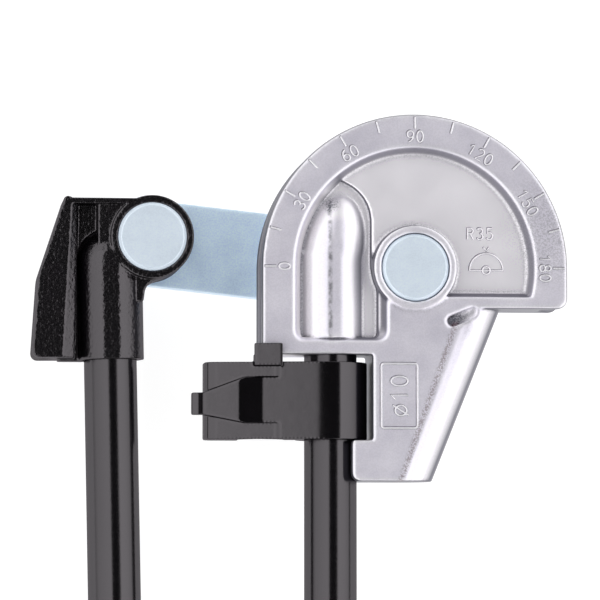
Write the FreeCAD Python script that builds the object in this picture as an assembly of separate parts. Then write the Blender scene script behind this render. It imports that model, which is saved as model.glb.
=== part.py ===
"""Manual tube bender for 10 mm tube, lying on its back with the angle scale facing up.

+Z is out of the scale face and +Y points away from the handles. The origin is
on the bend axis, on the bench that the rivet heads and grips rest on. Sizes are
in millimetres, and "level" means a height above the tube's mid-plane.
"""
import FreeCAD, Part
import math
import os

V = FreeCAD.Vector

# ---- the tube that is bent, and the depth stack behind the castings ----
TUBE_R = 5.0
BEND_R = 35.0
RIM_R = 35.25
CAST_HALF = 7.5
RUN_GAP = 0.05
FIT_GAP = 0.02
RIVET_H = 1.5
RIVET_WASHER_H = 0.8
SPRING_WASHER_H = 0.7
LINK_T = 6.0
THRUST_WASHER_H = 0.5
RIVET_WASHER_Z = RIVET_H + FIT_GAP
SPRING_WASHER_Z = RIVET_WASHER_Z + RIVET_WASHER_H + FIT_GAP
LINK_Z = SPRING_WASHER_Z + SPRING_WASHER_H + FIT_GAP
THRUST_WASHER_Z = LINK_Z + LINK_T + RUN_GAP
REAR_Z = THRUST_WASHER_Z + THRUST_WASHER_H + FIT_GAP
MID_Z = REAR_Z + CAST_HALF
FRONT_Z = MID_Z + CAST_HALF

# ---- pivot pins and washers ----
LINK_LENGTH = 60.65
LINK_ANGLE = 173.8
LINK_WIDTH = 19.8
PIN_R = 5.0
PIN_HEAD_R = 7.7
LEVER_PIN_HEAD_R = 7.8
PIN_HEAD_DEPTH = 4.0
PIN_HEAD_PROUD = 0.7
PIN_CHAMFER = 0.6
RIVET_R = 7.2
WASHER_R = 9.0
HEAD_SEAT_GAP = 0.08
SPRING_WASHER_T = 0.4
SPRING_WASHER_R = 8.2
BOSS_R = 9.7
LEVER_BOSS_R = 9.5

# ---- former casting ----
SIDE_END_Y = -9.3
RIB_TOP = (20.2, -9.9)
RIB_FOOT = (4.5, -48.9)
RIB_R = 7.3
LEG_FOOT_Y = -48.9
PIT_START = (8.6, -12.2)
PIT_END = (13.4, -10.2)
PIT_R = 1.5
PIT_LIFT = 0.4
LEG_LEFT_X = -14.65
NOTCH_X = -9.9
NOTCH_TOP_Y = -20.0
NOTCH_FOOT_Y = -39.5
RIM_IN_R = 27.8
POCKET_SLOPE = 1.6
POCKET_DEPTH = 2.5
POCKET_FOOT_Y = -6.8
POCKET_FOOT_SLOPE = 1.2
SLOT_FOOT_Y = -17.0
SLOT_RIGHT_X = -6.35
SLOT_CORNER_R = 2.2
TRENCH_DEPTH = 4.0
TRENCH_RIGHT_X = -9.9
BOSS_RAISE = 0.4

# ---- handles ----
HANDLE_X = -18.8
HANDLE_R = 6.05
HANDLE_BORE_R = 4.55
SOCKET_R = 7.7
SOCKET_TOP_Y = 18.6
SOCKET_CROWN = 7.56
CROWN_TILT = 2.5
NOSE_START_Y = 4.0
NOSE_LEAN = 11.0
FOOT_GROOVE_WIDTH = 0.7
FOOT_GROOVE_DEPTH = 1.0
SOCKET_DEPTH_Y = 7.0
HANDLE_END_Y = -272.0
GRIP_LENGTH = 118.0
GRIP_END_T = 4.0
GRIP_R = 12.5
GRIP_FLANGE_R = MID_Z
ROLL_PIN_R = 1.5
ROLL_PIN_BORE_R = 0.9
ROLL_PIN_L = 12.0
ROLL_PIN_SLIT = 0.5
FIXED_ROLL_PIN_Y = -8.0
LEVER_ROLL_PIN_Y = -15.0
PLUG_L = 10.0
PLUG_CAP_T = 1.5

# ---- lever casting with the sliding shoe ----
LEVER_SOCKET_R = 7.7
LEVER_SOCKET_X = -69.4
LEVER_SOCKET_FOOT_Y = -21.3
LEVER_TILT = 1.2
LEVER_SOCKET_DEPTH_Y = -1.0
SHOE_TOP = (-80.2, 15.85)
SHOE_FACE_ANGLE = -93.9
SHOE_FACE_DIST = 25.3
SHOE_FACE_START = 11.0
SHOE_FACE_END = 29.5
SHOE_IN_TOP_X = -78.6
SHOE_IN_FOOT_X = -80.6
SHOE_DRAFT_TOP = 1.6
SHOE_DRAFT_FOOT = 2.7
SHOE_DRAFT_DEPTH = 1.7
LEVER_DOME_Y = 1.3
TOP_WALL_DROP = 0.55
SHOULDER_X = -72.7
TOP_WALL_T = 1.3
WEB_HALF = 2.0

# ---- tube clip ----
CLIP_TOP_Y = -21.7
CLIP_FOOT_Y = -39.4
CLIP_RING_R = 8.4
CLIP_RING_STEP = 4
CLIP_BORE_R = HANDLE_R + 0.08
CLIP_BODY_X = -31.2
CLIP_OUT_X = -48.0
CLIP_WALL_FOOT = -5.0
CLIP_SEAT_R = 5.1
CLIP_WALL_IN_R = 21.45
CLIP_CROWN = 8.8
CLIP_CROWN_R = 24.0
CLIP_LEAN = 9.5
CLIP_BAR_STEP = 0.6
CLIP_RAMP_X = (-35.3, -40.3)
TONGUE_TOP_Y = -25.2
TONGUE_FOOT_Y = -35.7
TONGUE_TAPER_X = -39.0
TONGUE_TIP_X = -51.0
TONGUE_TIP_Y = (-28.7, -33.8)
STOP_X = -37.1
STOP_WIDTH = 6.4
STOP_REACH = 4.1
STOP_T = 2.0


# ---------------------------------------------------------------- helpers
def prism(points, z0, z1):
    """Solid from a closed polygon in XY between two heights."""
    ring = [V(x, y, z0) for x, y in points]
    face = Part.Face(Part.makePolygon(ring + [ring[0]]))
    return face.extrude(V(0, 0, z1 - z0))


def rounded_wire(corners, z):
    """Closed wire in XY; each corner is (x, y, radius), radius 0 for a sharp one."""
    count = len(corners)
    starts = []
    ends = []
    for i, (x, y, radius) in enumerate(corners):
        here = V(x, y, z)
        if radius == 0:
            starts.append(here)
            ends.append(here)
            continue
        before = V(corners[i - 1][0], corners[i - 1][1], z) - here
        after = V(corners[(i + 1) % count][0], corners[(i + 1) % count][1], z) - here
        before.normalize()
        after.normalize()
        half = before.getAngle(after) / 2
        reach = radius / math.tan(half)
        starts.append(here + before * reach)
        ends.append(here + after * reach)
    edges = []
    for i, (x, y, radius) in enumerate(corners):
        if radius:
            here = V(x, y, z)
            toward = starts[i] + ends[i] - here * 2
            toward.normalize()
            side = (starts[i] - here).Length
            centre = here + toward * math.hypot(side, radius)
            inner = centre - toward * radius
            edges.append(Part.Arc(starts[i], inner, ends[i]).toShape())
        following = starts[(i + 1) % count]
        if (following - ends[i]).Length > 1e-6:
            edges.append(Part.LineSegment(ends[i], following).toShape())
    return Part.Wire(edges)


def rounded_prism(corners, z0, z1):
    return Part.Face(rounded_wire(corners, z0)).extrude(V(0, 0, z1 - z0))


def tapered_prism(top, bottom, z_top, z_bottom):
    """Solid between two outlines with matching corners."""
    wires = [rounded_wire(bottom, z_bottom), rounded_wire(top, z_top)]
    return Part.makeLoft(wires, True, True)


def disc(radius, z0, z1, x=0.0, y=0.0):
    return Part.makeCylinder(radius, z1 - z0, V(x, y, z0))


def ring(outer, inner, z0, z1, x=0.0, y=0.0):
    return disc(outer, z0, z1, x, y).cut(disc(inner, z0 - 1, z1 + 1, x, y))


def rod_y(radius, y0, y1, x, z=None):
    """Cylinder along Y."""
    height = MID_Z if z is None else z
    return Part.makeCylinder(radius, y1 - y0, V(x, y0, height), V(0, 1, 0))


def side_prism(points, y0, y1):
    """Solid from a closed polygon of (x, level) extruded along Y."""
    ring_pts = [V(x, y0, MID_Z + level) for x, level in points]
    face = Part.Face(Part.makePolygon(ring_pts + [ring_pts[0]]))
    return face.extrude(V(0, y1 - y0, 0))


def fuse_all(shapes):
    result = shapes[0]
    for shape in shapes[1:]:
        result = result.fuse(shape)
    return result.removeSplitter()


def turned(profile):
    """Revolve a closed (radius, height) outline about +Z at the origin."""
    pts = [V(r, 0, z) for r, z in profile]
    face = Part.Face(Part.makePolygon(pts + [pts[0]]))
    return face.revolve(V(0, 0, 0), V(0, 0, 1), 360)


def lever_pin_place():
    angle = math.radians(LINK_ANGLE)
    return LINK_LENGTH * math.cos(angle), LINK_LENGTH * math.sin(angle)


PIN_X, PIN_Y = lever_pin_place()


# ---------------------------------------------------------------- pivots
def pivot_pin(head_r):
    """Headed pin, sunk in the casting's front and riveted over at the back."""
    top = FRONT_Z + PIN_HEAD_PROUD
    seat = FRONT_Z - PIN_HEAD_DEPTH
    profile = [
        (0, 0),
        (RIVET_R - 1.2, 0),
        (RIVET_R - 0.3, 0.4),
        (RIVET_R, RIVET_H - 0.3),
        (RIVET_R, RIVET_H),
        (PIN_R, RIVET_H),
        (PIN_R, seat),
        (head_r, seat),
        (head_r, top - PIN_CHAMFER),
        (head_r - PIN_CHAMFER, top),
        (0, top),
    ]
    return turned(profile)


def rivet_washer():
    return ring(WASHER_R, PIN_R + FIT_GAP, RIVET_WASHER_Z, RIVET_WASHER_Z + RIVET_WASHER_H)


def spring_washer():
    """Coned spring washer that keeps the pivot firm enough to stay where it is put."""
    low = SPRING_WASHER_Z
    high = low + SPRING_WASHER_H
    inner = PIN_R + 0.15
    profile = [
        (inner, high - SPRING_WASHER_T),
        (SPRING_WASHER_R, low),
        (SPRING_WASHER_R, low + SPRING_WASHER_T),
        (inner, high),
    ]
    return turned(profile)


def thrust_washer():
    return ring(WASHER_R, PIN_R + FIT_GAP, THRUST_WASHER_Z, THRUST_WASHER_Z + THRUST_WASHER_H)


def link_plate():
    half = LINK_WIDTH / 2
    bar = Part.makeBox(LINK_LENGTH, LINK_WIDTH, LINK_T, V(0, -half, LINK_Z))
    top = LINK_Z + LINK_T
    plate = fuse_all([bar, disc(half, LINK_Z, top), disc(half, LINK_Z, top, LINK_LENGTH)])
    for x in (0, LINK_LENGTH):
        plate = plate.cut(disc(PIN_R + RUN_GAP, LINK_Z - 1, top + 1, x))
    plate.rotate(V(0, 0, 0), V(0, 0, 1), LINK_ANGLE)
    return plate


# ---------------------------------------------------------------- former
def pocket(front):
    """Tapered pocket as a solid: the D beside the boss and the slot below the socket."""
    sign = 1 if front else -1
    face_z = MID_Z + sign * CAST_HALF
    floor_z = face_z - sign * POCKET_DEPTH
    out_z = face_z + sign
    low_r = RIM_IN_R - POCKET_SLOPE
    bowl = turned([(0, face_z), (RIM_IN_R, face_z), (low_r, floor_z), (0, floor_z)])
    mouth = disc(RIM_IN_R, min(face_z, out_z), max(face_z, out_z))
    dee = bowl.fuse(mouth).common(above_foot(face_z, floor_z, out_z))
    slope = POCKET_SLOPE
    top_outline = [
        (-RIM_IN_R, 0.0, 0),
        (-RIM_IN_R, SLOT_FOOT_Y, SLOT_CORNER_R),
        (SLOT_RIGHT_X, SLOT_FOOT_Y, SLOT_CORNER_R),
        (SLOT_RIGHT_X, 0.0, 0),
    ]
    floor_outline = [
        (-low_r, 0.0, 0),
        (-low_r, SLOT_FOOT_Y + slope, SLOT_CORNER_R),
        (SLOT_RIGHT_X - slope, SLOT_FOOT_Y + slope, SLOT_CORNER_R),
        (SLOT_RIGHT_X - slope, 0.0, 0),
    ]
    slot = tapered_prism(top_outline, floor_outline, face_z, floor_z)
    slot_mouth = rounded_prism(top_outline, face_z, out_z)
    return fuse_all([dee, slot, slot_mouth])


def above_foot(face_z, floor_z, out_z):
    """Everything above the D's sloping bottom wall."""
    wide = RIM_IN_R + 5
    floor_y = POCKET_FOOT_Y + POCKET_FOOT_SLOPE
    points = [
        V(-wide, POCKET_FOOT_Y, out_z),
        V(-wide, POCKET_FOOT_Y, face_z),
        V(-wide, floor_y, floor_z),
        V(-wide, wide, floor_z),
        V(-wide, wide, out_z),
    ]
    face = Part.Face(Part.makePolygon(points + [points[0]]))
    return face.extrude(V(2 * wide, 0, 0))


def trench(front):
    """Deeper channel that frees the socket's round sides from the pocket floor."""
    sign = 1 if front else -1
    face_z = MID_Z + sign * CAST_HALF
    floor_z = face_z - sign * TRENCH_DEPTH
    right = TRENCH_RIGHT_X
    outline = [
        (-RIM_IN_R, SLOT_FOOT_Y + 1, 1.0),
        (right + 1.5, SLOT_FOOT_Y + 1, 1.0),
        (right + 1.5, -5.0, 1.0),
        (right, 0.0, 2.0),
        (right, 16.5, 9.5),
        (-17.5, 20.5, 3.0),
        (-RIM_IN_R, 17.0, 2.0),
    ]
    low, high = sorted((floor_z, face_z + sign))
    solid = rounded_prism(outline, low, high)
    return solid.common(disc(RIM_IN_R - POCKET_SLOPE, low, high).fuse(
        Part.makeBox(40, 40, high - low, V(-RIM_IN_R + POCKET_SLOPE, -40, low))))


def rib_line():
    """Start, direction and length of the leg's slanted edge, and the way into the leg."""
    top = V(RIB_TOP[0], RIB_TOP[1], 0)
    foot = V(RIB_FOOT[0], RIB_FOOT[1], 0)
    along = foot - top
    length = along.Length
    along.normalize()
    return top, along, length, V(along.y, -along.x, 0)


def rib():
    """Full-round bar along the leg's slanted side, its crown just under the leg's faces."""
    top, along, length, inward = rib_line()
    start = top + inward * RIB_R - along * 3.0
    bar = Part.makeCylinder(RIB_R, length + 8.0, V(start.x, start.y, MID_Z), along)
    return bar.common(Part.makeBox(80, 80, 40, V(-40, LEG_FOOT_Y, 0)))


def rib_pit():
    """Scooped hollow where the round bar runs in under the rim band."""
    start = V(PIT_START[0], PIT_START[1], FRONT_Z + PIT_LIFT)
    end = V(PIT_END[0], PIT_END[1], FRONT_Z + PIT_LIFT)
    along = end - start
    scoop = Part.makeCylinder(PIT_R, along.Length, start, along)
    return fuse_all([scoop, Part.makeSphere(PIT_R, start), Part.makeSphere(PIT_R, end)])


def former_blank():
    """Half-round former, its straight run beside the clip, and the leg."""
    side = RIM_R
    half = disc(side, REAR_Z, FRONT_Z).common(Part.makeBox(2 * side, side, 40, V(-side, 0, 0)))
    top, along, length, inward = rib_line()
    inner_top = top + inward * RIB_R
    inner_foot = inner_top + along * length
    straight = rounded_prism([
        (-side, 0.0, 0),
        (-side, NOTCH_TOP_Y, 0.8),
        (NOTCH_X, NOTCH_TOP_Y, 0),
        (NOTCH_X, SIDE_END_Y, 0),
        (side, SIDE_END_Y, 2.4),
        (side, 0.0, 0),
    ], REAR_Z, FRONT_Z)
    leg = rounded_prism([
        (NOTCH_X, SIDE_END_Y + 2, 0),
        (NOTCH_X, NOTCH_FOOT_Y, 0.2),
        (LEG_LEFT_X, NOTCH_FOOT_Y, 0.6),
        (LEG_LEFT_X, LEG_FOOT_Y, 1.9),
        (inner_foot.x, LEG_FOOT_Y, 0),
        (inner_top.x, inner_top.y, 0),
        (inner_top.x, SIDE_END_Y + 2, 0),
    ], REAR_Z, FRONT_Z)
    return fuse_all([half, straight, leg, rib()])


def socket_dome():
    """Round socket for the fixed handle, with a bullet-shaped top that leans with the rim."""
    tube = rod_y(SOCKET_R, SLOT_FOOT_Y - 1, NOSE_START_Y, HANDLE_X)
    ball = Part.makeSphere(1.0)
    grow = FreeCAD.Matrix()
    grow.scale(SOCKET_R, SOCKET_TOP_Y - NOSE_START_Y, SOCKET_R)
    nose = ball.transformGeometry(grow)
    nose.rotate(V(0, 0, 0), V(0, 0, 1), -NOSE_LEAN)
    nose.translate(V(HANDLE_X + 0.3, NOSE_START_Y, MID_Z))
    whole = tube.fuse(nose)
    inside = disc(RIM_IN_R + 1, REAR_Z, FRONT_Z + 0.2)
    low = Part.makeBox(40, 30, CAST_HALF * 2 + 0.2, V(-RIM_IN_R, -30, REAR_Z))
    whole = whole.common(inside.fuse(low))
    return whole.cut(crown_trim()).cut(foot_groove())


def crown_trim():
    """What is dressed off the socket's crown, leaving a narrow flat strip."""
    slab = Part.makeBox(30, 80, 5, V(-15, -40, SOCKET_CROWN))
    slab.rotate(V(0, 0, 0), V(0, 1, 0), CROWN_TILT)
    slab.translate(V(HANDLE_X, 0, MID_Z))
    return slab


def foot_groove():
    """Step across the socket's crown, just above the slot's bottom wall."""
    return Part.makeBox(20, FOOT_GROOVE_WIDTH, 2, V(
        HANDLE_X - 10, SLOT_FOOT_Y, MID_Z + SOCKET_CROWN - FOOT_GROOVE_DEPTH))


def tube_groove():
    """Half-round channel round the rim, running straight at both ends."""
    torus = Part.makeTorus(BEND_R, TUBE_R, V(0, 0, MID_Z), V(0, 0, 1))
    upper = torus.common(Part.makeBox(100, 50, 40, V(-50, 0, 0)))
    left = rod_y(TUBE_R, NOTCH_TOP_Y - 1, 0, -BEND_R)
    right = rod_y(TUBE_R, SIDE_END_Y - 1, 0, BEND_R)
    return [upper, left, right]


def former_casting():
    body = former_blank()
    for front in (True, False):
        body = body.cut(pocket(front))
        body = body.cut(trench(front))
    body = body.fuse(socket_dome())
    body = body.fuse(disc(BOSS_R, REAR_Z, FRONT_Z + BOSS_RAISE))
    for channel in tube_groove():
        body = body.cut(channel)
    body = body.cut(rod_y(HANDLE_R + FIT_GAP, NOTCH_TOP_Y - 1, SOCKET_DEPTH_Y, HANDLE_X))
    seat = rod_y(HANDLE_R + FIT_GAP, LEG_FOOT_Y - 1, NOTCH_FOOT_Y + 1, HANDLE_X)
    body = body.cut(seat)
    body = body.cut(disc(PIN_R + FIT_GAP, 0, FRONT_Z + 5))
    body = body.cut(disc(PIN_HEAD_R + HEAD_SEAT_GAP, FRONT_Z - PIN_HEAD_DEPTH - FIT_GAP, FRONT_Z + 5))
    body = body.cut(roll_pin_hole(HANDLE_X, FIXED_ROLL_PIN_Y))
    body = body.cut(rib_pit())
    return body.removeSplitter()


# ---------------------------------------------------------------- handles
def roll_pin_hole(x, y):
    return disc(ROLL_PIN_R + FIT_GAP, REAR_Z - 1, REAR_Z + ROLL_PIN_L + 0.3, x, y)


def roll_pin(x, y):
    """Slit spring pin driven in from the back."""
    low = REAR_Z + 0.2
    body = ring(ROLL_PIN_R, ROLL_PIN_BORE_R, low, low + ROLL_PIN_L, x, y)
    slit = Part.makeBox(ROLL_PIN_R + 1, ROLL_PIN_SLIT, ROLL_PIN_L + 2, V(x, y - ROLL_PIN_SLIT / 2, low - 1))
    return body.cut(slit)


def handle_tube(top_y, x, pin_y):
    tube = rod_y(HANDLE_R, HANDLE_END_Y, top_y - 0.3, x)
    tube = tube.cut(rod_y(HANDLE_BORE_R, HANDLE_END_Y - 1, top_y + 1, x))
    return tube.cut(roll_pin_hole(x, pin_y))


def end_plug(x):
    """Plastic plug that closes the steel tube inside the grip."""
    stem = rod_y(HANDLE_BORE_R - FIT_GAP, HANDLE_END_Y, HANDLE_END_Y + PLUG_L, x)
    cap = rod_y(HANDLE_R - 0.2, HANDLE_END_Y - PLUG_CAP_T, HANDLE_END_Y - FIT_GAP, x)
    neck = rod_y(HANDLE_BORE_R - 0.5, HANDLE_END_Y - 1.0, HANDLE_END_Y + 1.0, x)
    return fuse_all([stem, cap, neck])


def grip(x):
    """Moulded sleeve grip: guard flange, ribbed waist and closed end flange."""
    end = HANDLE_END_Y - PLUG_CAP_T - GRIP_END_T
    outline = [
        (0, 0),
        (GRIP_FLANGE_R - 4.0, 0),
        (GRIP_FLANGE_R - 1.2, 1.0),
        (GRIP_FLANGE_R, 3.6),
        (GRIP_FLANGE_R, 6.0),
        (GRIP_FLANGE_R - 1.2, 8.6),
        (GRIP_R, 14.0),
        (GRIP_R - 0.8, 40.0),
        (GRIP_R + 0.6, 62.0),
        (GRIP_R - 0.4, 86.0),
        (GRIP_R, 103.0),
        (GRIP_R + 2.6, 107.0),
        (GRIP_R + 2.6, 109.5),
        (GRIP_R - 1.0, 112.0),
        (HANDLE_R + 2.0, GRIP_LENGTH - 1.0),
        (HANDLE_R + 1.0, GRIP_LENGTH),
        (0, GRIP_LENGTH),
    ]
    body = turned(outline)
    bore = disc(HANDLE_R + FIT_GAP, GRIP_END_T - FIT_GAP, GRIP_LENGTH + 1)
    body = body.cut(bore)
    body.rotate(V(0, 0, 0), V(1, 0, 0), -90)
    body.translate(V(x, end, MID_Z))
    return body


def tilt_lever(shape):
    """Lean a lever handle piece about the foot of its socket."""
    shape.rotate(V(LEVER_SOCKET_X, LEVER_SOCKET_FOOT_Y, MID_Z), V(0, 0, 1), LEVER_TILT)
    return shape


# ---------------------------------------------------------------- lever casting
def shoe():
    """Sliding shoe: a channel-shaped bar that rolls the tube round the former."""
    turn = math.radians(SHOE_FACE_ANGLE)
    along = V(math.cos(turn), math.sin(turn), 0)
    outward = V(along.y, -along.x, 0)
    pin = V(PIN_X, PIN_Y, MID_Z)
    knee = pin + outward * SHOE_FACE_DIST + along * SHOE_FACE_START
    foot = pin + outward * SHOE_FACE_DIST + along * SHOE_FACE_END
    outline = [
        (SHOE_TOP[0], SHOE_TOP[1], 1.0),
        (knee.x, knee.y, 8.0),
        (foot.x, foot.y, 1.6),
        (SHOE_IN_FOOT_X, LEVER_SOCKET_FOOT_Y + 0.2, 0.6),
        (SHOE_IN_TOP_X, SHOE_TOP[1] - 0.4, 0),
    ]
    body = rounded_prism(outline, REAR_Z, FRONT_Z)
    tube_line = pin + outward * (LINK_LENGTH - BEND_R) - along * 20.0
    groove = Part.makeCylinder(TUBE_R, 60, tube_line, along)
    return body, groove


def shoe_draft(front):
    """Inner edge of the shoe: it slopes in below the casting's face, then drops to the web."""
    sign = 1 if front else -1
    top_y, foot_y = SHOE_TOP[1] - TOP_WALL_DROP, LEVER_SOCKET_FOOT_Y + 0.2
    outlines = []
    for top_draft, foot_draft in ((0.0, 0.0), (SHOE_DRAFT_TOP, SHOE_DRAFT_FOOT)):
        outlines.append([
            (SHOE_IN_TOP_X - 1, top_y, 0),
            (SHOE_IN_TOP_X + top_draft, top_y, 0),
            (SHOE_IN_FOOT_X + foot_draft, foot_y, 0),
            (SHOE_IN_FOOT_X - 1, foot_y, 0),
        ])
    face_z = MID_Z + sign * CAST_HALF
    ledge_z = face_z - sign * SHOE_DRAFT_DEPTH
    slope = tapered_prism(*outlines, face_z, ledge_z)
    low, high = sorted((ledge_z, MID_Z + sign * WEB_HALF))
    return slope.fuse(rounded_prism(outlines[1], low, high))


def lever_casting():
    body, groove = shoe()
    boss = disc(LEVER_BOSS_R, REAR_Z, FRONT_Z, PIN_X, PIN_Y)
    socket = rod_y(LEVER_SOCKET_R, LEVER_SOCKET_FOOT_Y, LEVER_DOME_Y, LEVER_SOCKET_X)
    ball = Part.makeSphere(LEVER_SOCKET_R, V(LEVER_SOCKET_X, LEVER_DOME_Y, MID_Z))
    slab = Part.makeBox(60, 60, 2 * CAST_HALF, V(LEVER_SOCKET_X - 30, -40, REAR_Z))
    socket = tilt_lever(socket.fuse(ball)).common(slab)
    top_y = SHOE_TOP[1] - TOP_WALL_DROP
    web = prism([
        (SHOE_IN_TOP_X - 1, top_y),
        (PIN_X, top_y),
        (PIN_X, PIN_Y - 8),
        (LEVER_SOCKET_X + 5, -8.0),
        (LEVER_SOCKET_X + 5, LEVER_SOCKET_FOOT_Y + 1),
        (LEVER_SOCKET_X - 2, LEVER_SOCKET_FOOT_Y - 0.4),
        (SHOE_IN_FOOT_X - 1, LEVER_SOCKET_FOOT_Y - 0.4),
    ], MID_Z - WEB_HALF, MID_Z + WEB_HALF)
    top_wall = prism([
        (SHOE_IN_TOP_X - 1, top_y),
        (PIN_X, top_y),
        (PIN_X, top_y - TOP_WALL_T),
        (SHOE_IN_TOP_X - 1, top_y - TOP_WALL_T),
    ], REAR_Z, FRONT_Z)
    shoulder = prism([
        (SHOULDER_X, top_y),
        (PIN_X, top_y),
        (PIN_X, PIN_Y - 4),
        (LEVER_SOCKET_X + 2, -2.0),
        (SHOULDER_X, 2.0),
    ], REAR_Z + 1.0, FRONT_Z - 1.0)
    gusset = rounded_prism([
        (LEVER_SOCKET_X + 4, -8.0, 0),
        (LEVER_SOCKET_X + 7.3, -8.0, 0),
        (LEVER_SOCKET_X + 7.8, PIN_Y - 10.3, 3.5),
        (PIN_X + 3, PIN_Y - 9.2, 0),
        (PIN_X - 2, PIN_Y, 0),
    ], MID_Z - 5.0, MID_Z + 5.0)
    drafts = [shoe_draft(True), shoe_draft(False)]
    body = fuse_all([body, *drafts, socket, web, top_wall, shoulder, gusset, boss])
    body = body.cut(groove)
    bore = rod_y(HANDLE_R + FIT_GAP, LEVER_SOCKET_FOOT_Y - 1, LEVER_SOCKET_DEPTH_Y, LEVER_SOCKET_X)
    body = body.cut(tilt_lever(bore))
    body = body.cut(disc(PIN_R + FIT_GAP, 0, FRONT_Z + 5, PIN_X, PIN_Y))
    seat_z = FRONT_Z - PIN_HEAD_DEPTH - FIT_GAP
    body = body.cut(disc(LEVER_PIN_HEAD_R + FIT_GAP, seat_z, FRONT_Z + 5, PIN_X, PIN_Y))
    body = body.cut(tilt_lever(roll_pin_hole(LEVER_SOCKET_X, LEVER_ROLL_PIN_Y)))
    return body.removeSplitter()


# ---------------------------------------------------------------- tube clip
def clip_level(x):
    """Height above the tube's axis of the clip's front: a wide crown, then a straight fall to the left."""
    lean = math.radians(CLIP_LEAN)
    straight_x = HANDLE_X - CLIP_CROWN_R * math.sin(lean)
    low = min(HANDLE_X - x, CLIP_CROWN_R * math.sin(lean))
    crown = CLIP_CROWN - CLIP_CROWN_R + math.sqrt(CLIP_CROWN_R ** 2 - low ** 2)
    return crown - math.tan(lean) * max(0.0, straight_x - x)


def clip_ring():
    """Barrel round the handle: round behind, and drawn out to the crown in front."""
    outline = []
    for degrees in range(0, 360, CLIP_RING_STEP):
        angle = math.radians(degrees)
        level_r = CLIP_CROWN if degrees < 180 else CLIP_RING_R
        outline.append((HANDLE_X + CLIP_RING_R * math.cos(angle), level_r * math.sin(angle)))
    return side_prism(outline, CLIP_FOOT_Y, CLIP_TOP_Y)


def tube_clip():
    """Hook that holds the tube in the straight run and swings up about the fixed handle."""
    ring_part = clip_ring()
    crown_xs = [HANDLE_X - CLIP_CROWN_R * math.sin(math.radians(CLIP_LEAN * i / 6)) for i in range(7)]
    body_end = clip_level(CLIP_BODY_X)
    bar_end = clip_level(CLIP_OUT_X + 2.4) - CLIP_BAR_STEP
    bars = side_prism([
        *[(x, clip_level(x)) for x in crown_xs],
        (CLIP_BODY_X, body_end),
        (CLIP_BODY_X - 0.8, body_end - CLIP_BAR_STEP - 0.1),
        (CLIP_OUT_X + 2.4, bar_end),
        (CLIP_OUT_X + 0.7, bar_end - 0.8),
        (CLIP_OUT_X, bar_end - 2.4),
        (CLIP_OUT_X, CLIP_WALL_FOOT + 1.5),
        (CLIP_OUT_X + 1.5, CLIP_WALL_FOOT),
        (HANDLE_X, CLIP_WALL_FOOT),
    ], CLIP_FOOT_Y, CLIP_TOP_Y)
    knee_x = CLIP_OUT_X - 0.4
    ramp_level = clip_level(CLIP_RAMP_X[0])
    fall = math.tan(math.radians(CLIP_LEAN))
    knee_level = ramp_level - fall * (CLIP_RAMP_X[1] - knee_x)
    tongue_side = side_prism([
        (CLIP_BODY_X + 1, CLIP_SEAT_R),
        (CLIP_BODY_X + 1, clip_level(CLIP_BODY_X + 1)),
        (CLIP_RAMP_X[0], ramp_level),
        (CLIP_RAMP_X[1], ramp_level),
        (knee_x, knee_level),
        (knee_x - 1.2, knee_level - 1.4),
        (TONGUE_TIP_X, knee_level - 1.7),
        (TONGUE_TIP_X, knee_level - 3.8),
        (CLIP_OUT_X + 1, knee_level - 4.0),
        (CLIP_OUT_X + 4, CLIP_SEAT_R - 2.0),
    ], CLIP_FOOT_Y, CLIP_TOP_Y)
    tongue_plan = prism([
        (CLIP_BODY_X + 2, TONGUE_TOP_Y),
        (TONGUE_TAPER_X, TONGUE_TOP_Y),
        (knee_x, TONGUE_TIP_Y[0]),
        (TONGUE_TIP_X - 1, TONGUE_TIP_Y[0]),
        (TONGUE_TIP_X - 1, TONGUE_TIP_Y[1]),
        (knee_x, TONGUE_TIP_Y[1]),
        (TONGUE_TAPER_X, TONGUE_FOOT_Y),
        (CLIP_BODY_X + 2, TONGUE_FOOT_Y),
    ], 0, 60)
    tongue = tongue_side.common(tongue_plan)
    root_z = MID_Z + CLIP_SEAT_R + 0.1
    nose_z = FRONT_Z + 0.1
    stop_right_x = STOP_X + STOP_WIDTH
    stop_drop = fall * STOP_WIDTH
    stop_root = side_prism([
        (STOP_X, root_z - MID_Z),
        (stop_right_x, root_z - MID_Z),
        (stop_right_x, nose_z + STOP_T - MID_Z),
        (STOP_X, nose_z + STOP_T - stop_drop - MID_Z),
    ], CLIP_TOP_Y - 1.0, CLIP_TOP_Y + 1.6)
    stop_nose = side_prism([
        (STOP_X, nose_z - MID_Z),
        (stop_right_x, nose_z - MID_Z),
        (stop_right_x, nose_z + STOP_T - MID_Z),
        (STOP_X, nose_z + STOP_T - stop_drop - MID_Z),
    ], CLIP_TOP_Y, CLIP_TOP_Y + STOP_REACH)
    body = fuse_all([bars, ring_part, tongue, stop_root, stop_nose])
    workpiece = rod_y(CLIP_SEAT_R, CLIP_FOOT_Y - 1, CLIP_TOP_Y + 5, -BEND_R)
    swing = rod_y(CLIP_WALL_IN_R, CLIP_FOOT_Y - 1, CLIP_TOP_Y + 1, HANDLE_X)
    below = Part.makeBox(80, 60, 60, V(-60, -60, MID_Z - 60))
    way_out = swing.common(below)
    inner_keep = rod_y(CLIP_RING_R, CLIP_FOOT_Y - 2, CLIP_TOP_Y + 2, HANDLE_X)
    way_out = way_out.cut(inner_keep)
    body = body.cut(workpiece).cut(way_out)
    core = Part.makeBox(3.4, 12.6, 8.6, V(-46.0, CLIP_FOOT_Y + 2.5, MID_Z + CLIP_WALL_FOOT - 0.2))
    body = body.cut(core)
    body = body.cut(rod_y(CLIP_BORE_R, CLIP_FOOT_Y - 1, CLIP_TOP_Y + 1, HANDLE_X))
    return body.removeSplitter()


# ---------------------------------------------------------------- write the nodes
def at_lever_pin(shape):
    shape.translate(V(PIN_X, PIN_Y, 0))
    return shape


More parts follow.
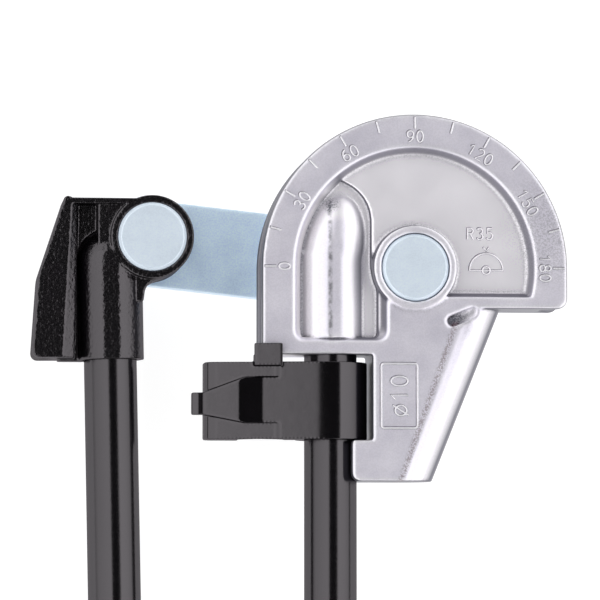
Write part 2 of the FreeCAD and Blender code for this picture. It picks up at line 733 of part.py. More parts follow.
def build():
    nodes = {
        "former_casting": former_casting(),
        "centre_pin": pivot_pin(PIN_HEAD_R),
        "centre_rivet_washer": rivet_washer(),
        "centre_spring_washer": spring_washer(),
        "centre_thrust_washer": thrust_washer(),
        "link_plate": link_plate(),
        "lever_casting": lever_casting(),
        "lever_pin": at_lever_pin(pivot_pin(LEVER_PIN_HEAD_R)),
        "lever_rivet_washer": at_lever_pin(rivet_washer()),
        "lever_spring_washer": at_lever_pin(spring_washer()),
        "lever_thrust_washer": at_lever_pin(thrust_washer()),
        "tube_clip": tube_clip(),
        "fixed_handle_tube": handle_tube(SOCKET_DEPTH_Y, HANDLE_X, FIXED_ROLL_PIN_Y),
        "fixed_handle_roll_pin": roll_pin(HANDLE_X, FIXED_ROLL_PIN_Y),
        "fixed_handle_end_plug": end_plug(HANDLE_X),
        "fixed_handle_grip": grip(HANDLE_X),
        "lever_handle_tube": tilt_lever(handle_tube(LEVER_SOCKET_DEPTH_Y, LEVER_SOCKET_X, LEVER_ROLL_PIN_Y)),
        "lever_handle_roll_pin": tilt_lever(roll_pin(LEVER_SOCKET_X, LEVER_ROLL_PIN_Y)),
        "lever_handle_end_plug": tilt_lever(end_plug(LEVER_SOCKET_X)),
        "lever_handle_grip": tilt_lever(grip(LEVER_SOCKET_X)),
    }
    os.makedirs("parts", exist_ok=True)
    for name, shape in nodes.items():
        print(f"{name}: {len(shape.Solids)} solid, valid {shape.isValid()}, {shape.Volume:.0f} mm3")
        shape.exportStep(f"parts/{name}.step")


build()
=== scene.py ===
"""Looks of the manual tube bender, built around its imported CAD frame."""
import math

import bmesh
import bpy
import numpy as np
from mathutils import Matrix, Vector


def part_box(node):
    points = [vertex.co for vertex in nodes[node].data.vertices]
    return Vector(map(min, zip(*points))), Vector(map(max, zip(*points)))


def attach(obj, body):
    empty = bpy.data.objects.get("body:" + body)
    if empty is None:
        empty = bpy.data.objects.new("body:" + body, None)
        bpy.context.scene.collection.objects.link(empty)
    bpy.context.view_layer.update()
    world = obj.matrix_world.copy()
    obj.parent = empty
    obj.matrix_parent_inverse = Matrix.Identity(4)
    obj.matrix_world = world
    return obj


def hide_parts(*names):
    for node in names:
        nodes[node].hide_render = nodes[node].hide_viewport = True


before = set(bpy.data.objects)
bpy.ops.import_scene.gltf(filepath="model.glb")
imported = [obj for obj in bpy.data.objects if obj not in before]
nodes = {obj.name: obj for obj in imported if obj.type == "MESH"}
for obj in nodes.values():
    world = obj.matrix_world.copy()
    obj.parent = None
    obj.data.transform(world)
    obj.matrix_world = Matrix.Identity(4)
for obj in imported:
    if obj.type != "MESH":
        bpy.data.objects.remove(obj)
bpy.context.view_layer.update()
MM = 0.001

# ---------------------------------------------------------------- places and sizes, from the frame
bpy.context.scene.view_settings.view_transform = "Standard"
former_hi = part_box("former_casting")[1]
FACE_Z = former_hi.z - 0.4 * MM               # front face of the former, behind its raised boss
RIM_R = former_hi.x                           # the former is centred on the origin
BEND_R = 35 * MM
TUBE_R = 5 * MM
POCKET_Z = FACE_Z - 2.5 * MM
PIT_END = (0.0085, -0.0125, FACE_Z)           # deep end of the hollow at the top of the round bar
ROUGH_PLACE = (0.0330, 0.0090, FACE_Z)        # rough patch of the rim
DOME_LINE_X = -0.0196                              # painted dark reflection line down the socket's dome
CROWN_PLACE = (-0.0192, 0.0148, FACE_Z - 2.2 * MM)   # top of the socket's crown
RIB_ACROSS = (0.943, -0.333)                  # direction across the leg's round bar
RIB_AWAY = 13.0 * MM                          # distance of the bar's foot from the bend axis
MOST_FACES = 195000                           # triangles in one piece
BLACK_DARK, BLACK_LIGHT = (0.0008, 0.0007, 0.0010), (0.0020, 0.0016, 0.0024)
# Painted shade: dark greys laid on the casting's walls, on the outer edge of its rim and in its tube groove.
WALL_SHADE_GREY, OUTLINE_SHADE_GREY = (0.085, 0.085, 0.12), (0.14, 0.14, 0.16)
# Dark colours of the grime on the casting, used as well for its painted shade and painted dark reflections.
GRIME_AND_SHADE_DARK, RED_GRIME_AND_SHADE = (0.05, 0.05, 0.06), (0.16, 0.06, 0.07)
handle_lo, handle_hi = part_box("fixed_handle_tube")
HANDLE_R = (handle_hi.x - handle_lo.x) / 2
MID_Z = (handle_lo.z + handle_hi.z) / 2


# ---------------------------------------------------------------- camera, light and floor
def look_at(thing, target):
    """Points the -Z axis of thing at target with its +Y axis on the world's +Y side."""
    back = (thing.location - target).normalized()
    right = Vector((0, 1, 0)).cross(back).normalized()
    over = back.cross(right)
    thing.matrix_world = np.array([
        [right.x, over.x, back.x, thing.location.x],
        [right.y, over.y, back.y, thing.location.y],
        [right.z, over.z, back.z, thing.location.z],
        [0, 0, 0, 1],
    ]).T


def make_camera():
    target = Vector((-0.0266, -0.0077, FACE_Z))
    distance = 0.9
    frame_width = 0.1368
    data = bpy.data.cameras.new("camera")
    data.sensor_width = 36
    data.lens = data.sensor_width * distance / frame_width
    data.clip_start = 0.01
    camera = bpy.data.objects.new("camera", data)
    bpy.context.scene.collection.objects.link(camera)
    camera.location = target + distance * Vector((-0.107, -0.073, 1)).normalized()
    look_at(camera, target)
    bpy.context.scene.camera = camera


def make_floor():
    mesh = bpy.data.meshes.new("floor")
    reach, z = 2.5, -0.4 * MM
    corners = [(-reach, -reach, z), (reach, -reach, z), (reach, reach, z), (-reach, reach, z)]
    mesh.from_pydata(corners, [], [(0, 1, 2, 3)])
    floor = bpy.data.objects.new("floor", mesh)
    bpy.context.scene.collection.objects.link(floor)
    material, tree, shader = new_material("floor_white")
    shader.inputs["Base Color"].default_value = (0.25, 0.25, 0.25, 1)
    shader.inputs["Roughness"].default_value = 0.7
    shader.inputs["Specular IOR Level"].default_value = 0.1
    shader.inputs["Emission Color"].default_value = (1, 1, 1, 1)
    shader.inputs["Emission Strength"].default_value = 0.9
    mesh.materials.append(material)


def make_studio():
    """A white studio round the object, with softboxes left and right and a dark gap above."""
    world = bpy.data.worlds.new("studio")
    bpy.context.scene.world = world
    world.use_nodes = True
    tree = world.node_tree
    tree.nodes.clear()
    coords = tree.nodes.new("ShaderNodeTexCoord")
    split = tree.nodes.new("ShaderNodeSeparateXYZ")
    tree.links.new(coords.outputs["Generated"], split.inputs[0])
    turn = math_node(tree, "ARCTAN2", split.outputs["X"], split.outputs["Z"])
    degrees = math_node(tree, "MULTIPLY", turn, 180 / math.pi)
    curve = tree.nodes.new("ShaderNodeValToRGB")
    position = math_node(tree, "ADD", math_node(tree, "DIVIDE", degrees, 360), 0.5)
    tree.links.new(position, curve.inputs[0])
    stops = [
        (-180, 0.4), (-100, 0.4), (-75, 1.2), (-14, 1.5), (-9, 0.03), (21, 0.03), (28, 1.65),
        (60, 1.5), (80, 1.2), (87, 0.1), (103, 0.1), (108, 0.4), (180, 0.4),
    ]
    bands = curve.color_ramp
    while len(bands.elements) < len(stops):
        bands.elements.new(0.5)
    strongest = 2.5
    for element, (angle, value) in zip(bands.elements, stops):
        element.position = angle / 360 + 0.5
        level = value / strongest
        element.color = (level, level, level, 1)
    height = math_node(tree, "ABSOLUTE", split.outputs["Y"])
    fade = ramp(tree, height, 1.0, 0.85, 0.45, 0.95)
    background = tree.nodes.new("ShaderNodeBackground")
    tree.links.new(math_node(tree, "MULTIPLY", fade, strongest), background.inputs["Strength"])
    tree.links.new(curve.outputs[0], background.inputs["Color"])
    output = tree.nodes.new("ShaderNodeOutputWorld")
    tree.links.new(background.outputs[0], output.inputs[0])


# ---------------------------------------------------------------- material helpers
def math_node(tree, operation, a, b=0.0, c=None, clamp=False):
    node = tree.nodes.new("ShaderNodeMath")
    node.operation = operation
    node.use_clamp = clamp
    for i, value in enumerate((a, b) if c is None else (a, b, c)):
        if hasattr(value, "is_linked"):
            tree.links.new(value, node.inputs[i])
        else:
            node.inputs[i].default_value = value
    return node.outputs[0]


def new_material(name):
    material = bpy.data.materials.new(name)
    material.use_nodes = True
    tree = material.node_tree
    shader = next(n for n in tree.nodes if n.type == "BSDF_PRINCIPLED")
    return material, tree, shader


def object_coords(tree, scale=(1, 1, 1)):
    coords = tree.nodes.new("ShaderNodeTexCoord")
    mapping = tree.nodes.new("ShaderNodeMapping")
    mapping.inputs["Scale"].default_value = scale
    tree.links.new(coords.outputs["Object"], mapping.inputs[0])
    return mapping.outputs[0]


def noise(tree, coords, size, detail, roughness):
    """Noise whose blotches are about size metres across."""
    node = tree.nodes.new("ShaderNodeTexNoise")
    node.inputs["Scale"].default_value = 1 / size
    node.inputs["Detail"].default_value = detail
    node.inputs["Roughness"].default_value = roughness
    tree.links.new(coords, node.inputs["Vector"])
    return node.outputs["Fac"]


def ramp(tree, value, low, high, from_low=0.3, from_high=0.7):
    """value, between from_low and from_high, as a number or colour between low and high."""
    if isinstance(low, (tuple, list)):
        node = tree.nodes.new("ShaderNodeValToRGB")
        node.color_ramp.elements[0].position = from_low
        node.color_ramp.elements[0].color = (*low, 1)
        node.color_ramp.elements[1].position = from_high
        node.color_ramp.elements[1].color = (*high, 1)
        tree.links.new(value, node.inputs[0])
        return node.outputs[0]
    node = tree.nodes.new("ShaderNodeMapRange")
    for name, number in (("From Min", from_low), ("From Max", from_high), ("To Min", low), ("To Max", high)):
        node.inputs[name].default_value = number
    tree.links.new(value, node.inputs["Value"])
    return node.outputs["Result"]


def mix_colour(tree, factor, a, b, blend="MIX"):
    node = tree.nodes.new("ShaderNodeMix")
    node.data_type = "RGBA"
    node.blend_type = blend
    for socket, value in ((node.inputs[0], factor), (node.inputs[6], a), (node.inputs[7], b)):
        if hasattr(value, "is_linked"):
            tree.links.new(value, socket)
        elif isinstance(value, (tuple, list)):
            socket.default_value = (*value, 1)
        else:
            socket.default_value = value
    return node.outputs[2]


def bumps(tree, shader, layers):
    """Stacks (height value, height in metres) layers on the shader's normal."""
    normal = None
    for height, depth in layers:
        node = tree.nodes.new("ShaderNodeBump")
        node.inputs["Strength"].default_value = 1
        node.inputs["Distance"].default_value = depth
        tree.links.new(height, node.inputs["Height"])
        if normal is not None:
            tree.links.new(normal, node.inputs["Normal"])
        normal = node.outputs["Normal"]
    tree.links.new(normal, shader.inputs["Normal"])


def concave(tree, soft):
    """1 in a crease and 0 on a flat or an edge."""
    geometry = tree.nodes.new("ShaderNodeNewGeometry")
    return ramp(tree, geometry.outputs["Pointiness"], 1.0, 0.0, 0.5 - soft, 0.5)


def convex(tree, soft):
    """1 on an edge and 0 on a flat or in a crease."""
    geometry = tree.nodes.new("ShaderNodeNewGeometry")
    return ramp(tree, geometry.outputs["Pointiness"], 0.0, 1.0, 0.5, 0.5 + soft)


# ---------------------------------------------------------------- materials
def place(tree, source="Object"):
    """The x, y and z of a point of the object, or of its normal."""
    coords = tree.nodes.new("ShaderNodeTexCoord")
    split = tree.nodes.new("ShaderNodeSeparateXYZ")
    tree.links.new(coords.outputs[source], split.inputs[0])
    return split.outputs["X"], split.outputs["Y"], split.outputs["Z"]


def wall_mask(tree):
    """1 on the casting's walls and 0 on its faces."""
    up = place(tree, "Normal")[2]
    return ramp(tree, math_node(tree, "ABSOLUTE", up), 1.0, 0.0, 0.5, 0.8)


def floor_mask(tree):
    """1 on the pocket's floor, which is painted lighter than the front face and given a faint glow."""
    z = place(tree)[2]
    low = ramp(tree, z, 1.0, 0.0, FACE_Z - 1.2 * MM, FACE_Z - 0.6 * MM)
    return math_node(tree, "MULTIPLY", low, ramp(tree, z, 0.0, 1.0, MID_Z, MID_Z + 1 * MM))


def bright_side(tree):
    """1 on the walls between the rim and the socket's dome, which catch the light."""
    x = place(tree)[0]
    reach = rim_reach(tree)[0]
    left = ramp(tree, x, 0.75, 0.0, -20.5 * MM, -17.5 * MM)
    return math_node(tree, "MULTIPLY", left, ramp(tree, reach, 0.9, 0.0, RIM_R - 3 * MM, RIM_R - 2 * MM))


def mould_seam(tree):
    """1 along a line down the front of the socket's dome, where a dark reflection is painted."""
    x, y = place(tree)[:2]
    beside = math_node(tree, "ABSOLUTE", math_node(tree, "SUBTRACT", x, DOME_LINE_X))
    line = ramp(tree, beside, 0.8, 0.0, 0.15 * MM, 0.7 * MM)
    line = math_node(tree, "MULTIPLY", line, ramp(tree, y, 0.0, 1.0, -17 * MM, -15 * MM))
    return math_node(tree, "MULTIPLY", line, ramp(tree, y, 1.0, 0.0, 14.5 * MM, 16 * MM))


def rib_seam(tree):
    """1 along the foot of the leg's round bar, where the flat meets it."""
    x, y = place(tree)[:2]
    across = math_node(tree, "MULTIPLY_ADD", y, RIB_ACROSS[1], math_node(tree, "MULTIPLY", x, RIB_ACROSS[0]))
    beside = math_node(tree, "ABSOLUTE", math_node(tree, "SUBTRACT", across, RIB_AWAY))
    line = ramp(tree, beside, 1.0, 0.0, 0.25 * MM, 1.0 * MM)
    return math_node(tree, "MULTIPLY", line, ramp(tree, y, 1.0, 0.0, -14 * MM, -12 * MM))


def rim_reach(tree):
    """How far out a point is, from the bend axis or beside the straight runs from x = 0, and its height."""
    x, y, z = place(tree)
    ahead = math_node(tree, "MAXIMUM", y, 0.0)
    squares = math_node(tree, "MULTIPLY_ADD", x, x, math_node(tree, "MULTIPLY", ahead, ahead))
    return math_node(tree, "SQRT", squares), z


def outline_mask(tree):
    """1 along the outer edge of the former's rim and inside its tube groove, where shade is painted on the
    casting.
    """
    reach, height = rim_reach(tree)
    edge = ramp(tree, reach, 0.0, 1.0, RIM_R - 0.45 * MM, RIM_R - 0.1 * MM)
    out = math_node(tree, "SUBTRACT", reach, BEND_R)
    up = math_node(tree, "SUBTRACT", height, MID_Z)
    squares = math_node(tree, "MULTIPLY_ADD", out, out, math_node(tree, "MULTIPLY", up, up))
    groove = ramp(tree, math_node(tree, "SQRT", squares), 1.0, 0.0, TUBE_R + 0.1 * MM, TUBE_R + 0.4 * MM)
    return math_node(tree, "MAXIMUM", edge, groove)


def near(tree, point, inner, outer):
    """1 within inner metres of a point of the object, falling to 0 at outer."""
    coords = tree.nodes.new("ShaderNodeTexCoord")
    distance = tree.nodes.new("ShaderNodeVectorMath")
    distance.operation = "DISTANCE"
    distance.inputs[1].default_value = point
    tree.links.new(coords.outputs["Object"], distance.inputs[0])
    return ramp(tree, distance.outputs["Value"], 1.0, 0.0, inner, outer)


def cast_aluminium():
    material, tree, shader = new_material("cast_aluminium")
    coords = object_coords(tree)
    blotch = noise(tree, coords, 7 * MM, 4, 0.6)
    grain = noise(tree, coords, 0.35 * MM, 3, 0.6)
    skin = noise(tree, coords, 1.6 * MM, 3, 0.5)
    light = ramp(tree, blotch, (0.87, 0.84, 0.95), (0.94, 0.91, 1.0), 0.3, 0.7)
    edges = math_node(tree, "MULTIPLY", convex(tree, 0.05), 0.7)
    lightened = mix_colour(tree, edges, light, (0.99, 0.98, 1.0))
    # Painted light: the pocket's floor is painted lighter than the front face.
    lightened = mix_colour(tree, floor_mask(tree), lightened, (1.0, 0.97, 1.0))
    # Painted shade: the casting's walls are painted dark grey, except those between the rim and the socket's
    # dome.
    walls = math_node(tree, "MULTIPLY", wall_mask(tree), 0.9)
    walls = math_node(tree, "MULTIPLY", walls, math_node(tree, "SUBTRACT", 1.0, bright_side(tree)))
    shaded = mix_colour(tree, walls, lightened, WALL_SHADE_GREY)
    # Painted shade along the outer edge of the rim and inside the tube groove.
    outline = math_node(tree, "MULTIPLY", outline_mask(tree), 0.85)
    shaded = mix_colour(tree, outline, shaded, OUTLINE_SHADE_GREY)
    speck = ramp(tree, grain, 0.3, 1.0, 0.55, 0.35)
    # Painted shade and grime, speckled, in every crease of the casting.
    crease = math_node(tree, "MULTIPLY", concave(tree, 0.05), 0.75)
    grime_and_painted_shade = math_node(tree, "MULTIPLY", crease, math_node(tree, "MULTIPLY_ADD", speck, 0.5, 0.5), clamp=True)
    # Painted shade and grime, speckled, in the hollow at the top of the round bar, below the front face.
    sunk = ramp(tree, place(tree)[2], 0.85, 0.0, FACE_Z - 0.5 * MM, FACE_Z - 0.1 * MM)
    pit_shade = math_node(tree, "MULTIPLY", near(tree, PIT_END, 1.6 * MM, 5.2 * MM), sunk)
    pit_shade = math_node(tree, "MULTIPLY", pit_shade, math_node(tree, "MULTIPLY_ADD", speck, 0.4, 0.6))
    # Painted dark reflection, speckled, at the top of the socket's crown.
    crown = math_node(tree, "MULTIPLY", near(tree, CROWN_PLACE, 0.7 * MM, 2.6 * MM), speck)
    # Painted dark reflection down the middle of the socket's dome, uneven along its length.
    dome_reflection = math_node(tree, "MULTIPLY", mould_seam(tree), ramp(tree, skin, 0.15, 0.75, 0.6, 0.4))
    grime_and_painted_shade = math_node(tree, "ADD", grime_and_painted_shade, dome_reflection, clamp=True)
    patch = math_node(tree, "MULTIPLY_ADD", near(tree, ROUGH_PLACE, 3 * MM, 15 * MM), 0.22, 0.06)
    patch = math_node(tree, "ADD", patch, math_node(tree, "MULTIPLY", rib_seam(tree), 0.45))
    freckles = math_node(tree, "MULTIPLY", patch, ramp(tree, grain, 0.0, 1.0, 0.56, 0.44))
    grime_and_painted_shade = math_node(tree, "ADD", grime_and_painted_shade, freckles, clamp=True)
    grime_and_painted_shade = math_node(tree, "ADD", grime_and_painted_shade, math_node(tree, "ADD", pit_shade, crown), clamp=True)
    # One dark colour for grime, painted shade and painted dark reflections; redder along the foot of the
    # round bar.
    stain_and_painted_shade = mix_colour(tree, rib_seam(tree), GRIME_AND_SHADE_DARK, RED_GRIME_AND_SHADE)
    tree.links.new(mix_colour(tree, grime_and_painted_shade, shaded, stain_and_painted_shade), shader.inputs["Base Color"])
    shader.inputs["Metallic"].default_value = 0.66
    # Painted light: the pocket's floor glows faintly, its walls not at all.
    shader.inputs["Emission Color"].default_value = (0.80, 0.80, 1.0, 1)
    flat = math_node(tree, "SUBTRACT", 0.09, math_node(tree, "MULTIPLY", wall_mask(tree), 0.09))
    tree.links.new(math_node(tree, "MULTIPLY", floor_mask(tree), flat), shader.inputs["Emission Strength"])
    tree.links.new(ramp(tree, blotch, 0.36, 0.42), shader.inputs["Roughness"])
    shader.inputs["Specular IOR Level"].default_value = 0.3
    bumps(tree, shader, [(blotch, 0.004 * MM), (skin, 0.008 * MM), (grain, 0.006 * MM)])
    return material


def casting_dirt():
    """Painted shadow beside the raised marks, a dark grey laid along their upper left side."""
    material, tree, shader = new_material("casting_dirt")
    cloud = noise(tree, object_coords(tree), 1.2 * MM, 3, 0.6)
    tree.links.new(ramp(tree, cloud, (0.11, 0.10, 0.13), (0.36, 0.34, 0.40)), shader.inputs["Base Color"])
    shader.inputs["Metallic"].default_value = 0.4
    shader.inputs["Roughness"].default_value = 0.5
    bumps(tree, shader, [(cloud, 0.01 * MM)])
    return material


def zinc_steel(name="zinc_steel", tint=(0.80, 0.93, 1.0), grain_depth=0.003 * MM, roughness=0.42,
               darkest=0.08, metallic=0.15, painted_glow=0.19):
    material, tree, shader = new_material(name)
    coords = object_coords(tree)
    cloud = noise(tree, coords, 5 * MM, 4, 0.6)
    grain = noise(tree, coords, 0.36 * MM, 3, 0.6)
    deep = tuple((1 - 2 * darkest) * c for c in tint)
    base = ramp(tree, cloud, deep, tint, 0.3, 0.7)
    low = 1 - 2 * darkest
    spark = ramp(tree, grain, (low, low, low), (1.0, 1.0, 1.0), 0.35, 0.62)
    tree.links.new(mix_colour(tree, 1.0, base, spark, "MULTIPLY"), shader.inputs["Base Color"])
    shader.inputs["Metallic"].default_value = metallic
    tree.links.new(ramp(tree, grain, roughness - 0.06, roughness + 0.08), shader.inputs["Roughness"])
    # Painted light: the zinc glows faintly blue.
    shader.inputs["Emission Color"].default_value = (0.35, 0.60, 1.0, 1)
    shader.inputs["Emission Strength"].default_value = painted_glow
    bumps(tree, shader, [(cloud, 0.02 * MM), (grain, grain_depth)])
    return material


def spring_steel(name="spring_steel", tint=(0.55, 0.54, 0.52)):
    material, tree, shader = new_material(name)
    coords = object_coords(tree)
    cloud = noise(tree, coords, 3 * MM, 3, 0.6)
    grain = noise(tree, object_coords(tree, (1, 1, 6)), 0.4 * MM, 3, 0.6)
    tree.links.new(ramp(tree, cloud, tuple(0.7 * c for c in tint), tint), shader.inputs["Base Color"])
    shader.inputs["Metallic"].default_value = 1.0
    tree.links.new(ramp(tree, grain, 0.22, 0.38), shader.inputs["Roughness"])
    bumps(tree, shader, [(grain, 0.006 * MM)])
    return material


def black_paint(name, peel_size, peel_depth, roughness):
    """Black stove enamel with an orange-peel skin; its shine grows little towards grazing."""
    material, tree, shader = new_material(name)
    coords = object_coords(tree)
    peel = noise(tree, coords, peel_size, 2, 0.45)
    fine = noise(tree, coords, 0.25 * MM, 2, 0.5)
    cloud = noise(tree, coords, 6 * MM, 3, 0.6)
    tree.links.new(ramp(tree, cloud, BLACK_DARK, BLACK_LIGHT), shader.inputs["Base Color"])
    shader.inputs["Specular IOR Level"].default_value = 0.0
    shader.inputs["Roughness"].default_value = 0.6
    gloss = tree.nodes.new("ShaderNodeBsdfGlossy")
    gloss.inputs["Color"].default_value = (1.0, 0.94, 1.0, 1)
    tree.links.new(ramp(tree, fine, roughness - 0.04, roughness + 0.05), gloss.inputs["Roughness"])
    facing = tree.nodes.new("ShaderNodeLayerWeight")
    facing.inputs["Blend"].default_value = 0.5
    grazing = math_node(tree, "POWER", facing.outputs["Facing"], 4.0)
    share = math_node(tree, "MULTIPLY_ADD", grazing, 0.07, 0.085)
    mix = tree.nodes.new("ShaderNodeMixShader")
    tree.links.new(share, mix.inputs[0])
    tree.links.new(shader.outputs[0], mix.inputs[1])
    tree.links.new(gloss.outputs[0], mix.inputs[2])
    output = next(n for n in tree.nodes if n.type == "OUTPUT_MATERIAL")
    tree.links.new(mix.outputs[0], output.inputs["Surface"])
    layers = [(peel, peel_depth), (fine, 0.0015 * MM)]
    bumps(tree, shader, layers)
    bumps(tree, gloss, layers)
    return material


def grip_rubber():
    material, tree, shader = new_material("grip_rubber")
    coords = object_coords(tree)
    grain = noise(tree, coords, 0.3 * MM, 3, 0.6)
    cloud = noise(tree, coords, 9 * MM, 3, 0.6)
    shade = ramp(tree, cloud, (0.016, 0.016, 0.017), (0.026, 0.026, 0.028))
    tree.links.new(shade, shader.inputs["Base Color"])
    tree.links.new(ramp(tree, cloud, 0.50, 0.62), shader.inputs["Roughness"])
    shader.inputs["Sheen Weight"].default_value = 0.1
    bumps(tree, shader, [(grain, 0.02 * MM)])
    return material


# ---------------------------------------------------------------- mesh helpers
def link_object(name, mesh, material, body, slot, *replaced):
    piece = bpy.data.objects.new(name, mesh)
    bpy.context.scene.collection.objects.link(piece)
    mesh.materials.clear()
    mesh.materials.append(material)
    mesh.polygons.foreach_set("use_smooth", [True] * len(mesh.polygons))
    mesh.update()
    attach(piece, body)
    if replaced:
        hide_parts(*replaced)
    return piece


def evaluated_mesh(source, name):
    mesh = bpy.data.meshes.new_from_object(
        source.evaluated_get(bpy.context.evaluated_depsgraph_get()))
    mesh.name = name
    return mesh


def relax(mesh, rounds):
    """Rounds the mesh off: each point moves half-way to the middle of its neighbours, rounds times."""
    count = len(mesh.vertices)
    co = np.empty(count * 3)
    mesh.vertices.foreach_get("co", co)
    co = co.reshape(-1, 3)
    ends = np.empty(len(mesh.edges) * 2, int)
    mesh.edges.foreach_get("vertices", ends)
    a, b = ends[0::2], ends[1::2]
    valence = np.bincount(a, minlength=count) + np.bincount(b, minlength=count)
    for _ in range(rounds):
        middle = np.stack([
            np.bincount(a, co[b, k], count) + np.bincount(b, co[a, k], count) for k in range(3)
        ], 1) / valence[:, None]
        co = (co + middle) / 2
    mesh.vertices.foreach_set("co", co.ravel())
    mesh.update()


def refined(node, body, slot, material, depth, scale, rounds):
    """A cast copy of a CAD node: its edges and corners are rounded off as a mould leaves them."""
    mesh = nodes[node].data.copy()
    work = bmesh.new()
    work.from_mesh(mesh)
    bmesh.ops.remove_doubles(work, verts=work.verts, dist=1e-6)
    work.to_mesh(mesh)
    work.free()
    mesh.update()
    helper = bpy.data.objects.new(node + "_work", mesh)
    bpy.context.scene.collection.objects.link(helper)
    remesh = helper.modifiers.new("remesh", "REMESH")
    remesh.mode = "SHARP"
    remesh.octree_depth = depth
    remesh.scale = scale
    remesh.use_remove_disconnected = False
    skin = evaluated_mesh(helper, node + "_skin")
    helper.modifiers.clear()
    relax(skin, rounds)
    triangles = sum(len(p.vertices) - 2 for p in skin.polygons)
    if triangles > MOST_FACES:
        helper.data = skin
        thin = helper.modifiers.new("thin", "DECIMATE")
        thin.ratio = MOST_FACES / triangles
        skin = evaluated_mesh(helper, node + "_skin")
        helper.modifiers.clear()
    skin.polygons.foreach_set("use_smooth", [True] * len(skin.polygons))
    helper.data = skin
    flats = helper.modifiers.new("flats", "WEIGHTED_NORMAL")
    flats.weight = 80
    skin = evaluated_mesh(helper, node + "_skin")
    bpy.data.objects.remove(helper)
    return link_object(node + "_cast", skin, material, body, slot, node)


def turned(name, profile, start, direction, segments, material, body, slot, *replaced):
    """A turned piece. Its profile is (radius, height along direction) and closes on the axis or on itself."""
    axis = direction.normalized()
    side = Vector((0, 0, 1)).cross(axis)
    side = side.normalized() if side.length > 0.1 else Vector((1, 0, 0))
    other = axis.cross(side)
    points, faces = [], []
    spin = [2 * math.pi * k / segments for k in range(segments)]
    for radius, height in profile:
        for angle in spin:
            outward = math.cos(angle) * side + math.sin(angle) * other
            points.append(start + height * axis + radius * outward)
    closed = profile[0][0] > 0
    rings = len(profile)
    for i in range(rings if closed else rings - 1):
        low, high = i * segments, (i + 1) % rings * segments
        for k in range(segments):
            m = (k + 1) % segments
            faces.append((low + k, low + m, high + m, high + k))
    mesh = bpy.data.meshes.new(name)
    mesh.from_pydata(points, [], faces)
    work = bmesh.new()
    work.from_mesh(mesh)
    bmesh.ops.remove_doubles(work, verts=work.verts, dist=1e-7)
    bmesh.ops.recalc_face_normals(work, faces=work.faces)
    work.to_mesh(mesh)
    work.free()
    return link_object(name, mesh, material, body, slot, *replaced)


def eased(profile, radius, steps=3):
    """The profile with each corner rounded, and held flat right up to the rounding."""
    result = [profile[0]]
    for before, corner, after in zip(profile, profile[1:], profile[2:]):
        p, q, r = Vector(before), Vector(corner), Vector(after)
        back, ahead = (p - q), (r - q)
        cut = min(radius, 0.4 * back.length, 0.4 * ahead.length)
        a, b = q + cut * back.normalized(), q + cut * ahead.normalized()
        result.append(tuple(a + 0.3 * cut * back.normalized()))
        for i in range(steps + 1):
            t = i / steps
            result.append(tuple((1 - t) ** 2 * a + 2 * t * (1 - t) * q + t * t * b))
        result.append(tuple(b + 0.3 * cut * ahead.normalized()))
    return result + [profile[-1]]


# ---------------------------------------------------------------- pins, handles and grips
def make_pins(material):
    """Pins with a chamfered head at the front and a riveted end at the back."""
    for name, body in (("centre_pin", "former"), ("lever_pin", "lever")):
        low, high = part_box(name)
        centre = Vector(((low.x + high.x) / 2, (low.y + high.y) / 2, 0))
        head_r = (high.x - low.x) / 2
        top = high.z
        shank_r, rivet_r, rivet_h = 5 * MM, 7.2 * MM, 1.5 * MM
        seat = FACE_Z - 4 * MM
        chamfer = 0.7 * MM
        profile = eased([
            (0, low.z),
            (rivet_r - 1.6 * MM, low.z),
            (rivet_r - 0.5 * MM, low.z + 0.45 * MM),
            (rivet_r, rivet_h - 0.3 * MM),
            (rivet_r, rivet_h),
            (shank_r, rivet_h),
            (shank_r, seat),
            (head_r, seat),
            (head_r, top - chamfer),
            (head_r - chamfer, top),
            (0, top),
        ], 0.15 * MM)
        turned(name + "_turned", profile, centre, Vector((0, 0, 1)), 160, material, body, "zinc_steel", name)


def tube_ends(node):
    """Centres of the two ends of a tube node that runs along Y."""
    co = np.array([v.co for v in nodes[node].data.vertices])
    ends = []
    for edge in (co[:, 1].min(), co[:, 1].max()):
        near = co[np.abs(co[:, 1] - edge) < 0.3 * MM]
        ends.append(Vector((near.min(0) + near.max(0)) / 2))
    return ends


def make_handles(tube_material, grip_material):
    for side, body in (("fixed", "former"), ("lever", "lever")):
        node = side + "_handle_tube"
        low, high = tube_ends(node)
        length = (high - low).length
        outer, bore, chamfer = HANDLE_R, HANDLE_R - 1.5 * MM, 0.4 * MM
        profile = eased([
            (bore, 0), (outer - chamfer, 0), (outer, chamfer),
            (outer, length - chamfer), (outer - chamfer, length), (bore, length),
        ], 0.2 * MM)
        turned(node + "_painted", profile, low, high - low, 128, tube_material, body, "black_tube", node)
        make_grip(side, body, low, (high - low).normalized(), grip_material)


